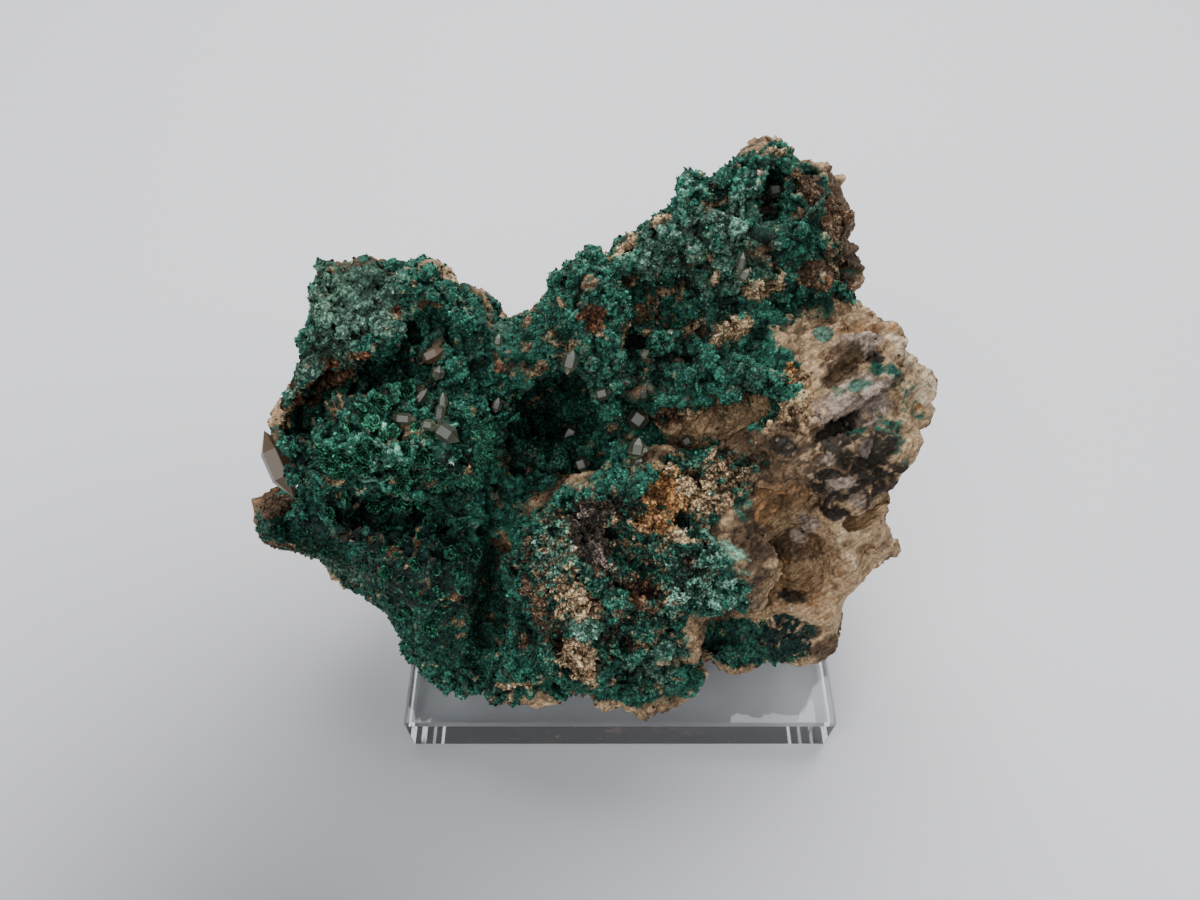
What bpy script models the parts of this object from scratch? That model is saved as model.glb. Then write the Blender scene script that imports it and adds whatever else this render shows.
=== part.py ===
"""A malachite specimen on a clear display stand.

The stone is one natural piece: a brown matrix under a thick crust of malachite, with a dark hollow
in the middle of its display face. Small clear crystals sit on it, and it rests on an acrylic plate.
Metres, +Z up. The origin is the centre of the stand's underside, and -Y is the front.
"""

import math
from collections import namedtuple

import bmesh
import bpy
from mathutils import Matrix, Vector, noise
from mathutils.bvhtree import BVHTree

MM = 0.001

# Driving dimensions
STAND_SIDE = 60 * MM
STAND_THICKNESS = 8 * MM
STAND_CHAMFER = 0.4 * MM
GAP = 0.3 * MM
ROCK_TRIANGLES = 8300

# The view in which the stone was measured, in the stand's frame. A place on the stone is written
# as a pixel of a 1200 x 900 picture and a depth along the view's axis.
PICTURE_CENTRE = (600, 450)
FOCAL_PIXELS = 900
VIEW_PITCH = math.radians(53.5)
VIEW_POINT = Vector((-2.8, -73.3, 130.4)) * MM
VIEW_RIGHT = Vector((1, 0, 0))
VIEW_UP = Vector((0, math.sin(VIEW_PITCH), math.cos(VIEW_PITCH)))
VIEW_AHEAD = Vector((0, math.cos(VIEW_PITCH), -math.sin(VIEW_PITCH)))

# The silhouette is cut out of the mass between these depths
NEAR_DEPTH = 80 * MM
FAR_DEPTH = 175 * MM

# Surface making
FUSE_VOXEL = 0.9 * MM
FINE_VOXEL = 0.75 * MM
LUMP_ROUGHNESS = 0.16
LUMP_SEED_STEP = 7.3
GROUND_FREQUENCY = 90
GROUND_RISE = 1.1 * MM
KNOB_FREQUENCY = 230
KNOB_REACH = 0.8
KNOB_MEAN = 0.75
KNOB_RISE = 1.7 * MM
BLOCK_FREQUENCY = 130
BLOCK_RISE = 2.0 * MM

# Where the malachite crust gives way to bare matrix: how squarely a face looks at the viewer, how
# far to the right it lies, and how low
CRUST_FACING = (-0.1, 0.3)
MATRIX_EDGE = (18 * MM, 24 * MM)
MATRIX_TOP = (54 * MM, 48 * MM)

# A core lump: centre and half sizes in millimetres, in the stand's frame
Core = namedtuple("Core", "name centre half")
# A lump or a hollow on the display face: pixel of its middle, depth of its middle in millimetres,
# half width and half height in pixels, half thickness in millimetres, turn in the picture
Lump = namedtuple("Lump", "name pixel depth half thick turn")

CORES = [
    Core("foot", (1, -2, 16), (27, 21, 15)),
    Core("heart", (0, 3, 32), (33, 19, 17)),
    Core("left_back", (-29, 1, 43), (13, 14, 13)),
    Core("right_back", (24, -1, 37), (14, 15, 17)),
    Core("tower_back", (17, 16, 51), (14, 10, 14)),
    Core("neck", (-6, 8, 44), (22, 11, 10)),
]

LEFT_LOBE = [
    Lump("crest_slab", (348, 322), 109, (54, 52), 8, 0),
    Lump("crest_left", (336, 288), 109, (30, 28), 6.5, 0),
    Lump("crest_middle", (384, 286), 109, (28, 29), 6.5, 0),
    Lump("crest_right", (432, 290), 110, (32, 30), 7, -20),
    Lump("crest_slope", (468, 318), 110, (40, 26), 7, -30),
    Lump("ledge_knob", (384, 336), 104, (22, 19), 5, 0),
    Lump("ledge_middle", (340, 350), 104.5, (40, 23), 5.5, 20),
    Lump("ledge_end", (300, 380), 106, (30, 25), 6, 30),
    Lump("edge_bank", (285, 432), 112, (22, 40), 6, 0),
    Lump("crystal_bank", (430, 350), 111, (32, 26), 6, 0),
    Lump("rosette_left", (338, 456), 109, (54, 38), 8.5, 8),
    Lump("rosette_middle", (398, 458), 107.5, (52, 42), 9, 0),
    Lump("rosette_right", (460, 440), 107.5, (36, 44), 8, 0),
    Lump("rosette_top", (420, 408), 109, (48, 20), 6, 0),
    Lump("lower_band", (350, 510), 114, (62, 34), 7, -10),
    Lump("lower_slope", (420, 560), 117.5, (66, 50), 7, -20),
    Lump("lower_toe", (450, 635), 122, (56, 58), 6.5, -20),
    Lump("lower_tip", (395, 600), 120.5, (26, 30), 5, 30),
]

LOW_LOBE = [
    Lump("low_end", (282, 520), 121, (30, 32), 5, 0),
    Lump("low_middle", (318, 545), 122, (34, 22), 5, -35),
    Lump("low_tip", (348, 575), 123, (26, 20), 5, -40),
    Lump("low_root", (350, 540), 127, (45, 45), 8, 0),
]

FRONT_LOBE = [
    Lump("dome", (620, 560), 111, (108, 82), 9, 0),
    Lump("dome_top", (625, 500), 109.5, (86, 42), 7, 14),
    Lump("dome_left", (555, 560), 111.5, (58, 66), 7.5, 20),
    Lump("dome_right", (718, 570), 108.5, (60, 56), 7.5, 0),
    Lump("dome_ridge", (640, 478), 107.5, (70, 20), 6, 20),
    Lump("dome_brow", (545, 520), 109, (42, 26), 6, 35),
    Lump("dome_knob", (662, 528), 105.5, (26, 20), 4, 0),
    Lump("dome_knob_low", (596, 560), 107, (30, 34), 5, -20),
    Lump("dome_belly", (610, 635), 115, (100, 62), 8, 0),
    Lump("belly_right", (665, 645), 116, (48, 52), 7, 0),
    Lump("belly_left", (525, 640), 118, (40, 56), 6, 0),
    Lump("rim_left", (530, 690), 120.5, (46, 22), 4.5, 0),
    Lump("rim_right", (640, 690), 120, (62, 22), 5, 0),
    Lump("shoulder", (700, 490), 111, (58, 34), 7, -10),
]

RIGHT_MATRIX = [
    Lump("matrix_top", (850, 360), 113, (56, 56), 8, -30),
    Lump("matrix_corner", (885, 400), 114, (58, 54), 7, 0),
    Lump("matrix_fold", (858, 392), 107.5, (62, 17), 5.5, 32),
    Lump("matrix_fold_upper", (862, 350), 109, (48, 17), 5, 38),
    Lump("matrix_shelf", (800, 392), 109.5, (36, 20), 5, 10),
    Lump("matrix_brow", (862, 448), 108, (44, 20), 6, 35),
    Lump("matrix_knot", (846, 460), 111.5, (54, 50), 8, 0),
    Lump("matrix_inner", (785, 430), 112.5, (46, 44), 7, 0),
    Lump("matrix_waist", (790, 505), 117, (60, 46), 8, 0),
    Lump("matrix_low", (832, 540), 120, (60, 54), 8, 0),
    Lump("matrix_foot", (800, 600), 122, (52, 48), 7, 0),
    Lump("matrix_toe", (805, 640), 122.5, (34, 30), 5.5, 0),
    Lump("under_green", (745, 640), 123, (48, 36), 6, 0),
]

TOWER = [
    Lump("knob", (592, 322), 108, (46, 62), 8, 0),
    Lump("knob_top", (580, 282), 109, (36, 30), 6, 30),
    Lump("knob_front", (610, 368), 109, (46, 34), 7, 0),
    Lump("saddle", (528, 338), 112, (36, 24), 5.5, 0),
    Lump("saddle_back", (530, 345), 119, (60, 30), 8, 0),
    Lump("saddle_lip", (500, 358), 110, (24, 28), 5, 0),
    Lump("ridge", (690, 240), 111, (44, 66), 8, -15),
    Lump("ridge_top", (696, 200), 110.5, (26, 36), 6, 0),
    Lump("ridge_back", (640, 258), 115, (50, 30), 7, 35),
    Lump("ridge_front", (725, 250), 110, (34, 52), 7, 10),
    Lump("peak", (765, 195), 112.5, (44, 56), 8, 0),
    Lump("peak_arm_left", (742, 195), 109.5, (24, 36), 5.5, 25),
    Lump("peak_arm_right", (798, 195), 111, (22, 42), 5.5, 0),
    Lump("flank", (815, 240), 115.5, (46, 74), 8, -8),
    Lump("flank_bulge", (790, 250), 112, (34, 34), 6, 0),
    Lump("flank_low", (822, 290), 115, (42, 30), 6.5, 0),
    Lump("tan_patch", (768, 292), 112, (36, 22), 5, 0),
    Lump("slope", (735, 330), 113.5, (62, 36), 7, -10),
    Lump("slope_bulge", (715, 378), 110.5, (46, 28), 6, 0),
    Lump("slope_right", (785, 350), 113, (44, 40), 6, 0),
    Lump("slope_left", (665, 320), 116, (36, 50), 6, 0),
]

HOLLOWS = [
    Lump("main_hollow", (560, 412), 118, (50, 40), 15, 25),
    Lump("hollow_low", (592, 446), 114, (40, 26), 10, 25),
    Lump("hollow_mouth", (528, 462), 108, (40, 62), 10, -20),
    Lump("valley_top", (500, 520), 110, (34, 34), 8, 0),
    Lump("valley", (492, 605), 116, (20, 96), 8, -5),
    Lump("ledge_recess_left", (316, 412), 106, (48, 14), 8, 30),
    Lump("ledge_recess", (380, 383), 107, (60, 18), 9, 10),
    Lump("ledge_pit", (408, 344), 107, (12, 30), 7, -10),
    Lump("rosette_undercut", (420, 514), 109.5, (92, 16), 7, 0),
    Lump("tower_recess", (668, 296), 109, (30, 36), 8, 10),
    Lump("knob_side", (634, 345), 107, (12, 46), 6, -10),
    Lump("peak_recess", (776, 182), 107, (20, 14), 5, 0),
    Lump("peak_recess_low", (774, 212), 107, (16, 11), 5, 0),
    Lump("peak_cleft", (720, 195), 108, (9, 30), 6, -10),
    Lump("small_cave", (700, 426), 111, (54, 20), 7, 4),
    Lump("cave_end", (748, 408), 109, (26, 18), 7, 0),
    Lump("slope_hollow", (640, 425), 111, (26, 22), 6, 0),
    Lump("flank_cleft", (812, 306), 109, (50, 9), 5, 0),
    Lump("matrix_cleft", (838, 422), 107.5, (52, 9), 5, 28),
    Lump("fold_groove", (856, 376), 105.5, (44, 6), 4, 28),
    Lump("knot_recess", (808, 492), 112, (24, 14), 5, -20),
    Lump("matrix_step", (868, 505), 114, (40, 14), 6, 30),
    Lump("low_lobe_pit", (310, 532), 117.5, (36, 18), 5, -20),
    Lump("dome_side", (800, 556), 112.5, (30, 62), 7, 15),
    Lump("dome_groove", (642, 570), 103, (14, 60), 4, 35),
    Lump("under_dome", (738, 646), 113.5, (44, 24), 6, 22),
]

# Silhouette of the stone, clockwise from its upper left corner, in pixels
OUTLINE = [
    (316, 257), (345, 260), (372, 254), (390, 254), (402, 267), (412, 261),
    (424, 254), (440, 263), (458, 273), (465, 284), (482, 291), (500, 308),
    (511, 320), (528, 311), (552, 295), (553, 279), (570, 268), (582, 250),
    (606, 251), (620, 238), (645, 226), (668, 205), (678, 182), (688, 169),
    (704, 171), (714, 180), (730, 163), (745, 147), (768, 140), (786, 148),
    (797, 160), (816, 160), (834, 182), (848, 212), (853, 255), (864, 295),
    (860, 306), (884, 320), (912, 352), (938, 381), (943, 393), (934, 418),
    (908, 462), (889, 500), (893, 537), (884, 557), (862, 578), (840, 607),
    (834, 645), (827, 661), (800, 668), (765, 657), (748, 672), (716, 678),
    (704, 694), (684, 706), (655, 711), (600, 709), (540, 704), (500, 712),
    (487, 697), (450, 693), (420, 678), (405, 650), (393, 618), (370, 600),
    (345, 590), (310, 558), (288, 555), (260, 538), (253, 525), (256, 505),
    (266, 491), (276, 484), (270, 452), (268, 430), (276, 408), (283, 375),
    (292, 352), (288, 342), (300, 310), (304, 294), (320, 275),
]

# A crystal: pixel, length and width in millimetres, its turn in the picture (0 points right,
# 90 up), how far its tip leans out towards the viewer, and how far its middle stands off the
# stone, or off the middle of the first crystal of its group
Crystal = namedtuple("Crystal", "pixel length width turn lean lift")

CRYSTALS = {
    "clear_spindle_left": [
        Crystal((404, 419), 3.1, 1.4, -3, 5, 0.5),
    ],
    "clear_cluster_left": [
        Crystal((446, 433), 3.7, 2.0, -32, 8, 0.6),
        Crystal((429, 425), 2.2, 1.3, -10, 10, 0.4),
        Crystal((440, 413), 2.8, 1.1, 80, 15, 0.6),
        Crystal((443, 401), 2.0, 1.0, 88, 10, 0.8),
    ],
    "clear_prism_left": [
        Crystal((421, 397), 2.6, 1.2, 52, 8, 0.5),
    ],
    "grey_crystal_left": [
        Crystal((438, 373), 1.9, 1.5, 70, 25, 0.4),
    ],
    "tan_crystal_left": [
        Crystal((432, 355), 3.3, 1.7, 25, 5, 0.5),
    ],
    "pale_crystal_saddle": [
        Crystal((498, 341), 1.8, 1.0, 80, 5, 0.3),
    ],
    "clear_crystal_valley": [
        Crystal((497, 405), 2.0, 1.2, 75, 10, 0.3),
    ],
    "clear_crystal_knob": [
        Crystal((570, 362), 3.1, 1.7, 75, 5, 0.4),
    ],
    "clear_lens_middle": [
        Crystal((602, 394), 2.4, 1.5, 15, 5, 0.5),
    ],
    "grey_crystal_knob": [
        Crystal((645, 354), 1.4, 1.2, 45, 20, 0.4),
    ],
    "clear_pair_cave": [
        Crystal((643, 394), 1.8, 1.4, 100, 15, 0.6),
        Crystal((650, 388), 1.8, 1.1, -50, 10, 0.7),
    ],
    "clear_crystal_cave": [
        Crystal((638, 419), 3.4, 2.6, 55, 5, 0.7),
    ],
    "clear_cluster_front": [
        Crystal((637, 449), 2.9, 2.0, 80, 5, 0.6),
        Crystal((638, 463), 1.9, 1.5, 70, 10, 0.5),
        Crystal((645, 450), 1.6, 1.0, 20, 10, 0.7),
    ],
    "clear_crystal_hollow": [
        Crystal((570, 434), 3.4, 2.0, 60, 5, 0.5),
    ],
    "brown_crystal_hollow": [
        Crystal((582, 464), 2.4, 2.1, 20, 10, 0.5),
    ],
    "brown_crystal_cave": [
        Crystal((687, 441), 1.9, 1.5, 30, 10, 0.4),
    ],
    "grey_crystal_peak": [
        Crystal((775, 191), 2.3, 1.7, 10, 5, 0.5),
    ],
    "pale_prism_tower": [
        Crystal((741, 264), 2.9, 1.0, 78, 5, 0.4),
        Crystal((744, 276), 2.0, 1.3, 60, 8, 0.4),
    ],
    "tan_quartz_prism": [
        Crystal((279, 464), 8.8, 3.2, -66, 0, 1.8),
    ],
}

CRYSTAL_SIDES = 6
CRYSTAL_TIP = 0.3


def seen_at(pixel, depth):
    """The point that shows at a pixel, at a depth along the view's axis."""
    across = (pixel[0] - PICTURE_CENTRE[0]) / FOCAL_PIXELS
    up = (PICTURE_CENTRE[1] - pixel[1]) / FOCAL_PIXELS
    return VIEW_POINT + (VIEW_AHEAD + across * VIEW_RIGHT + up * VIEW_UP) * depth


def view_turn(degrees):
    """Axes that face the viewer, turned in the picture."""
    axes = Matrix((VIEW_RIGHT, VIEW_UP, -VIEW_AHEAD)).transposed()
    return (axes @ Matrix.Rotation(math.radians(degrees), 3, "Z")).to_4x4()


def clear_scene():
    for obj in list(bpy.data.objects):
        bpy.data.objects.remove(obj, do_unlink=True)


def new_collection(name):
    collection = bpy.data.collections.new(name)
    bpy.context.scene.collection.children.link(collection)
    return collection


def material(name, colour, roughness, transmission=0.0):
    made = bpy.data.materials.new(name)
    made.use_nodes = True
    shader = made.node_tree.nodes["Principled BSDF"]
    shader.inputs["Base Color"].default_value = (*colour, 1)
    shader.inputs["Metallic"].default_value = 0
    shader.inputs["Roughness"].default_value = roughness
    shader.inputs["Transmission Weight"].default_value = transmission
    return made


def object_from(bm, name, collection):
    mesh = bpy.data.meshes.new(name)
    bm.to_mesh(mesh)
    bm.free()
    obj = bpy.data.objects.new(name, mesh)
    collection.objects.link(obj)
    return obj


def evaluated(obj):
    """The object's mesh with its modifiers applied, as a new mesh."""
    bpy.context.view_layer.update()
    graph = bpy.context.evaluated_depsgraph_get()
    return bpy.data.meshes.new_from_object(obj.evaluated_get(graph))


def bake_modifiers(obj):
    """Applies the object's modifiers to its mesh."""
    mesh = evaluated(obj)
    obj.modifiers.clear()
    obj.data = mesh


def voxel_remesh(obj, voxel, smoothing):
    remesh = obj.modifiers.new("Fuse", "REMESH")
    remesh.mode = "VOXEL"
    remesh.voxel_size = voxel
    smooth = obj.modifiers.new("Soften", "SMOOTH")
    smooth.factor = 0.5
    smooth.iterations = smoothing
    bake_modifiers(obj)


def boolean(obj, other, operation, solver="EXACT"):
    modifier = obj.modifiers.new(operation.title(), "BOOLEAN")
    modifier.operation = operation
    modifier.solver = solver
    modifier.object = other
    bake_modifiers(obj)


def add_lump(bm, placed, seed):
    """Adds one irregular boulder: a ball made uneven, then stretched into its place."""
    ball = bmesh.ops.create_icosphere(bm, subdivisions=4, radius=1)["verts"]
    offset = Vector((seed, -seed, 2 * seed)) * LUMP_SEED_STEP
    for vertex in ball:
        swell = noise.fractal(vertex.co * 1.3 + offset, 0.8, 2.1, 4)
        vertex.co *= 1 + LUMP_ROUGHNESS * swell
    bmesh.ops.transform(bm, matrix=placed, verts=ball)


def lump_matrix(lump):
    depth = lump.depth * MM
    scale = depth / FOCAL_PIXELS
    size = Matrix.Diagonal((lump.half[0] * scale, lump.half[1] * scale, lump.thick * MM, 1))
    return Matrix.Translation(seen_at(lump.pixel, depth)) @ view_turn(lump.turn) @ size


def mass_of(name, lumps, collection, cores=()):
    """All lumps fused into one closed mass."""
    bm = bmesh.new()
    for number, core in enumerate(cores):
        place = Matrix.Translation(Vector(core.centre) * MM)
        add_lump(bm, place @ Matrix.Diagonal((*(Vector(core.half) * MM), 1)), number + 0.5)
    for number, lump in enumerate(lumps):
        add_lump(bm, lump_matrix(lump), number)
    obj = object_from(bm, name, collection)
    voxel_remesh(obj, FUSE_VOXEL, 3)
    return obj


def silhouette_cone(collection):
    """The outline carried along the lines of sight, from near to far."""
    bm = bmesh.new()
    near = bm.faces.new([bm.verts.new(seen_at(pixel, NEAR_DEPTH)) for pixel in OUTLINE])
    made = bmesh.ops.extrude_face_region(bm, geom=[near])["geom"]
    for vertex in (item for item in made if isinstance(item, bmesh.types.BMVert)):
        vertex.co = VIEW_POINT + (vertex.co - VIEW_POINT) * (FAR_DEPTH / NEAR_DEPTH)
    bmesh.ops.recalc_face_normals(bm, faces=bm.faces)
    bmesh.ops.triangulate(bm, faces=bm.faces)
    return object_from(bm, "silhouette", collection)


def ramp(value, start, end):
    """Rises from 0 at the start to 1 at the end."""
    return min(max((value - start) / (end - start), 0.0), 1.0)


def crust_share(point, normal):
    """1 on the malachite of the display face, 0 on the bare matrix to its right and behind."""
    facing = ramp(-normal.dot(VIEW_AHEAD), *CRUST_FACING)
    low_right = ramp(point.x, *MATRIX_EDGE) * ramp(point.z, *MATRIX_TOP)
    return facing * (1 - low_right)


def knobs(point, frequency):
    """Round knobs that meet in sharp creases."""
    distance = noise.voronoi(point * frequency)[0][0]
    return math.sqrt(max(0.0, 1 - (distance / KNOB_REACH) ** 2))


def broken(point):
    """Steps between blocks, as on a broken face."""
    centre = noise.voronoi(point * BLOCK_FREQUENCY)[1][0]
    return noise.noise(centre * 9.1)


def roughen(obj):
    """Gives the mass its knobs, where malachite covers it, and its broken faces elsewhere."""
    mesh = obj.data
    normals = [vertex.normal.copy() for vertex in mesh.vertices]
    for vertex, normal in zip(mesh.vertices, normals):
        crust = crust_share(vertex.co, normal)
        ground = GROUND_RISE * noise.fractal(vertex.co * GROUND_FREQUENCY, 0.9, 2.0, 3)
        round_knobs = KNOB_RISE * (knobs(vertex.co, KNOB_FREQUENCY) - KNOB_MEAN)
        blocks = BLOCK_RISE * broken(vertex.co)
        vertex.co += normal * (ground + crust * round_knobs + (1 - crust) * blocks)
    mesh.update()


def drop_chips(obj):
    """Keeps only the largest connected piece of the mesh."""
    bm = bmesh.new()
    bm.from_mesh(obj.data)
    islands = []
    waiting = set(bm.verts)
    while waiting:
        edge = [waiting.pop()]
        island = set(edge)
        while edge:
            vertex = edge.pop()
            near = {link.other_vert(vertex) for link in vertex.link_edges} - island
            island |= near
            edge.extend(near)
        waiting -= island
        islands.append(island)
    main_body = max(islands, key=len)
    bmesh.ops.delete(bm, geom=[v for v in bm.verts if v not in main_body], context="VERTS")
    bm.to_mesh(obj.data)
    bm.free()


def make_rock(collection, cutters):
    lumps = LEFT_LOBE + LOW_LOBE + FRONT_LOBE + RIGHT_MATRIX + TOWER
    rock = mass_of("malachite_rock", lumps, collection, CORES)
    hollows = mass_of("hollows", HOLLOWS, cutters)
    boolean(rock, hollows, "DIFFERENCE", "MANIFOLD")
    boolean(rock, silhouette_cone(cutters), "INTERSECT", "MANIFOLD")
    voxel_remesh(rock, FINE_VOXEL, 2)
    roughen(rock)
    drop_chips(rock)
    decimate = rock.modifiers.new("Facets", "DECIMATE")
    decimate.ratio = ROCK_TRIANGLES / (2 * len(rock.data.polygons))
    bake_modifiers(rock)
    return rock


def box(name, size, centre, collection):
    bm = bmesh.new()
    place = Matrix.Translation(centre) @ Matrix.Diagonal((*size, 1))
    bmesh.ops.create_cube(bm, size=1, matrix=place)
    return object_from(bm, name, collection)


def cut_foot(rock, cutters):
    """Flattens the stone's underside where it rests on the stand."""
    depth = 40 * MM
    top = STAND_THICKNESS + GAP
    below = box("below_stone", (0.2, 0.2, depth), (0, 0, top - depth / 2), cutters)
    boolean(rock, below, "DIFFERENCE", "MANIFOLD")


def crystal_mesh(bm, shape, centre):
    """A six-sided prism with a point at each end, lying in the picture at its turn."""
    length = shape.length * MM
    radius = shape.width * MM / 2
    tip = CRYSTAL_TIP * length
    lie = view_turn(shape.turn) @ Matrix.Rotation(math.radians(90 - shape.lean), 4, "Y")
    made = bmesh.ops.create_cone(
        bm, cap_ends=True, segments=CRYSTAL_SIDES, radius1=radius, radius2=radius,
        depth=length - 2 * tip, matrix=Matrix.Translation(centre) @ lie,
    )["verts"]
    caps = {face for vertex in made for face in vertex.link_faces if len(face.verts) > 4}
    for cap in caps:
        outward = cap.normal.copy()
        point = bmesh.ops.poke(bm, faces=[cap])["verts"][0]
        point.co += outward * tip


def make_crystal(name, shapes, surface, collection):
    """One crystal, or several that have grown together into one solid."""
    pieces = []
    line_of_sight = (seen_at(shapes[0].pixel, FAR_DEPTH) - VIEW_POINT).normalized()
    hit = surface.ray_cast(VIEW_POINT, line_of_sight)[0]
    depth = (hit - VIEW_POINT).dot(VIEW_AHEAD)
    for number, shape in enumerate(shapes):
        bm = bmesh.new()
        crystal_mesh(bm, shape, seen_at(shape.pixel, depth - shape.lift * MM))
        bmesh.ops.recalc_face_normals(bm, faces=bm.faces)
        pieces.append(object_from(bm, f"{name}_{number}" if number else name, collection))
    for piece in pieces[1:]:
        boolean(pieces[0], piece, "UNION")
        bpy.data.objects.remove(piece)
    return pieces[0]


def socket_of(crystal, collection):
    """The crystal grown by the gap all round."""
    bm = bmesh.new()
    bm.from_mesh(crystal.data)
    bm.normal_update()
    moves = [vertex.normal * GAP * min(vertex.calc_shell_factor(), 2.5) for vertex in bm.verts]
    for vertex, move in zip(bm.verts, moves):
        vertex.co += move
    return object_from(bm, crystal.name + "_socket", collection)


def make_stand(collection):
    size = (STAND_SIDE, STAND_SIDE, STAND_THICKNESS)
    stand = box("display_stand", size, (0, 0, STAND_THICKNESS / 2), collection)
    bevel = stand.modifiers.new("Polished edges", "BEVEL")
    bevel.width = STAND_CHAMFER
    bevel.segments = 1
    return stand


def main():
    clear_scene()
    parts = new_collection("malachite_specimen")
    cutters = new_collection("cutters")

    rock = make_rock(parts, cutters)
    cut_foot(rock, cutters)
    surface = BVHTree.FromPolygons(
        [vertex.co for vertex in rock.data.vertices],
        [polygon.vertices for polygon in rock.data.polygons],
    )
    clear = material("clear_crystal", (0.86, 0.87, 0.84), 0.05, 0.95)
    tan = material("tan_crystal", (0.45, 0.3, 0.15), 0.25, 0.4)
    for name, shapes in CRYSTALS.items():
        crystal = make_crystal(name, shapes, surface, parts)
        crystal.data.materials.append(tan if name.startswith("tan") else clear)
        boolean(rock, socket_of(crystal, cutters), "DIFFERENCE", "MANIFOLD")
    drop_chips(rock)
    rock.data.materials.clear()
    rock.data.materials.append(material("malachite", (0.035, 0.17, 0.11), 0.8))

    stand = make_stand(parts)
    stand.data.materials.append(material("clear_acrylic", (0.93, 0.94, 0.94), 0.03, 1.0))

    for cutter in cutters.objects:
        cutter.hide_render = True
        cutter.display_type = "WIRE"


main()
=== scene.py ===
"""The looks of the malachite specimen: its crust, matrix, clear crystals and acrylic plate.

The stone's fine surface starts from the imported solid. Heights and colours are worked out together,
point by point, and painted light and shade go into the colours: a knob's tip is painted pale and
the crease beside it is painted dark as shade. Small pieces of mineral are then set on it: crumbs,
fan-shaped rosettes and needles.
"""

import math
from collections import namedtuple

import bmesh
import bpy
import numpy as np
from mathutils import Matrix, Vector
from mathutils.bvhtree import BVHTree

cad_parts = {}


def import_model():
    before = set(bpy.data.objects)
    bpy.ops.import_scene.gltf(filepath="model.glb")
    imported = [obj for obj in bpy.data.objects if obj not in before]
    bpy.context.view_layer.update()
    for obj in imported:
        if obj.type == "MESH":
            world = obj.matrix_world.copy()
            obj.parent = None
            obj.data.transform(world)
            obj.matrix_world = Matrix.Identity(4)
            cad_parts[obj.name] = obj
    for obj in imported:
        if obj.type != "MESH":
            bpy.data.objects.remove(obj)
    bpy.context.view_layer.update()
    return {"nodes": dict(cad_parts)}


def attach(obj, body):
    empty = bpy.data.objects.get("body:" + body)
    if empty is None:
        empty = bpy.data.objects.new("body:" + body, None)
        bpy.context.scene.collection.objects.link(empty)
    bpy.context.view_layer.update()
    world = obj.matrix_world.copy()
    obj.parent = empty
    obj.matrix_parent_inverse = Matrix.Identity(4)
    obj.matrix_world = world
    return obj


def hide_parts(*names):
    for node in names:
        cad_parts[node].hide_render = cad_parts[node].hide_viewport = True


MM = 0.001

# The photograph's view, in the stand's frame
PICTURE = (1200, 900)
FOCAL_PIXELS = 900
SENSOR_MM = 36
VIEW_PITCH = math.radians(53.5)
VIEW_POINT = np.array((-2.8, -73.3, 130.4)) * MM
VIEW_RIGHT = np.array((1.0, 0.0, 0.0))
VIEW_UP = np.array((0.0, math.sin(VIEW_PITCH), math.cos(VIEW_PITCH)))
VIEW_AHEAD = np.array((0.0, math.cos(VIEW_PITCH), -math.sin(VIEW_PITCH)))

# The way that the crust's scales rise, and the run of the matrix's fine lines, in that view
SCALE_RISE = 0.55 * VIEW_RIGHT - 0.83 * VIEW_UP
STRIA_ALONG = 0.82 * VIEW_RIGHT + 0.57 * VIEW_UP
STRIA_ASIDE = -0.57 * VIEW_RIGHT + 0.82 * VIEW_UP

# How finely the stone is made
VOXEL = 0.52 * MM
LONGEST_SEEN = 0.42 * MM
LONGEST_HIDDEN = 0.9 * MM
FACET_SMOOTHING = 8
SEED = 11

# How far from a crystal the crust starts to give way
FREE_MARGIN = 0.9 * MM

# How bright the tints are, on the crust and on bare matrix
CRUST_GAIN = 2.15
BARE_GAIN = 1.7
GRAINS = 9600
TUFTS = 4300
SPRAY_NEEDLES = 90
SMALL_ROSETTES = 130

# The floor, and the soft shade on it
FLOOR_COLOUR = (233, 234, 238)
SHADE_COLOUR = (112, 112, 115)
SHADE_MIDDLE = (-0.044, -0.066, 0)
SHADE_REACH = 0.15

# The stone is cut in blocks, so that no mesh is too heavy: name, then for each side its
# axis, the place of the cut in millimetres, and which side of it is kept
BLOCKS = {
    "left_lobe": [(0, -20, -1)],
    "middle_left": [(0, -20, 1), (0, 0, -1)],
    "middle_right": [(0, 0, 1), (0, 17, -1)],
    "right_matrix": [(0, 17, 1)],
}

# Mineral colours, as sRGB
COLOURS = {
    "moss": (62, 88, 75),
    "green": (31, 73, 60),
    "deep": (15, 39, 35),
    "mint": (87, 125, 108),
    "frond": (60, 128, 98),
    "tan": (146, 122, 94),
    "cream": (176, 158, 132),
    "ochre": (142, 103, 66),
    "fur": (112, 86, 60),
    "rust": (84, 56, 38),
    "brown": (76, 60, 45),
    "black": (40, 35, 29),
    "stone": (132, 117, 106),
}

# A patch of colour: what it is, the pixel of its middle, half width and half height in pixels,
# its turn in the picture, and how much of the ground it covers
Patch = namedtuple("Patch", "kind pixel half turn cover", defaults=(0, 1.0))

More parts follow.
